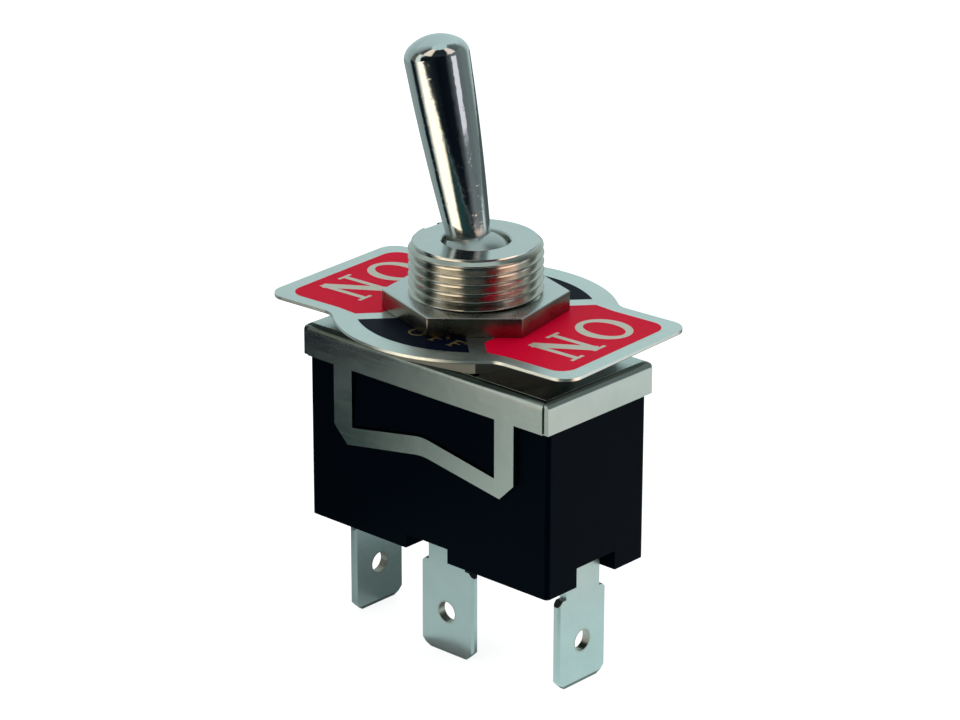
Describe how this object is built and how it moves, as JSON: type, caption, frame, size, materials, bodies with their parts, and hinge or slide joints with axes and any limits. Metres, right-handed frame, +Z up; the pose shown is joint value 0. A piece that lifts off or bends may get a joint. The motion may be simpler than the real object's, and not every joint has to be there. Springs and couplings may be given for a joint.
{
  "type": "panel toggle switch",
  "caption": "Panel toggle switch with a chromed bat lever, threaded bushing with nuts and legend plate, clipped metal frame over a moulded housing, and quick-connect tabs.",
  "frame": {"origin": "on the bushing's axis, in the frame's upper face", "axes": "+Z up along the bushing, +X along the housing's length and the lever's swing, +Y across"},
  "size_m": [0.0346, 0.0252, 0.0561],
  "materials": {
    "phenolic": "black moulded phenolic, slightly glossy",
    "fibre_sheet": "brown vulcanised fibre",
    "nickel_sheet": "nickel-plated steel sheet",
    "nickel_thread": "nickel-plated brass, turned and threaded",
    "nut_nickel": "nickel-plated brass",
    "washer_steel": "plated spring steel",
    "plate_aluminium": "satin aluminium with printed fields",
    "lever_chrome": "polished chrome plate on brass",
    "pin_steel": "ground steel",
    "nylon": "natural nylon",
    "spring_steel": "spring wire",
    "contact_brass": "stamped brass",
    "rivet_brass": "brass rivet",
    "contact_silver": "silver contact rivet",
    "tinned_brass": "tin-plated brass"
  },
  "bodies": {
    "switch_body": {"housing": "phenolic", "insulator": "fibre_sheet", "frame": "nickel_sheet", "bushing": "nickel_thread", "back_nut": "nut_nickel", "lock_washer": "washer_steel", "legend_plate": "plate_aluminium", "front_nut": "nut_nickel", "saddle": "contact_brass", "saddle_rivet": "rivet_brass", "terminal_common": "tinned_brass", "terminal_left": "tinned_brass", "terminal_right": "tinned_brass", "fixed_contact_left": "contact_silver", "fixed_contact_right": "contact_silver"},
    "lever": {"lever": "lever_chrome", "lever_pin": "pin_steel", "plunger_spring": "spring_steel"},
    "plunger": {"plunger": "nylon"},
    "rocker": {"rocker": "contact_brass", "moving_contact_left": "contact_silver", "moving_contact_right": "contact_silver"}
  },
  "joints": [
    {"name": "lever_swing", "type": "hinge", "parent": "switch_body", "child": "lever", "pos_m": [0, 0, 0.0061], "axis": [0, 1, 0], "range_deg": [0, 27.28]},
    {"name": "plunger_slide", "type": "slide", "parent": "lever", "child": "plunger", "axis": [-0.2358, 0, 0.9718], "range_m": [0, 0.0008], "stiffness_N_per_m": 1500, "springref_m": -0.002, "deforming": ["plunger_spring"]},
    {"name": "rocker_seesaw", "type": "hinge", "parent": "switch_body", "child": "rocker", "pos_m": [0, 0, -0.0125], "axis": [0, 1, 0], "range_deg": [-16, 0]}
  ],
  "couplings": [
    {"joint": "rocker_seesaw", "follows": "lever_swing", "ratio": -0.58651}
  ]
}
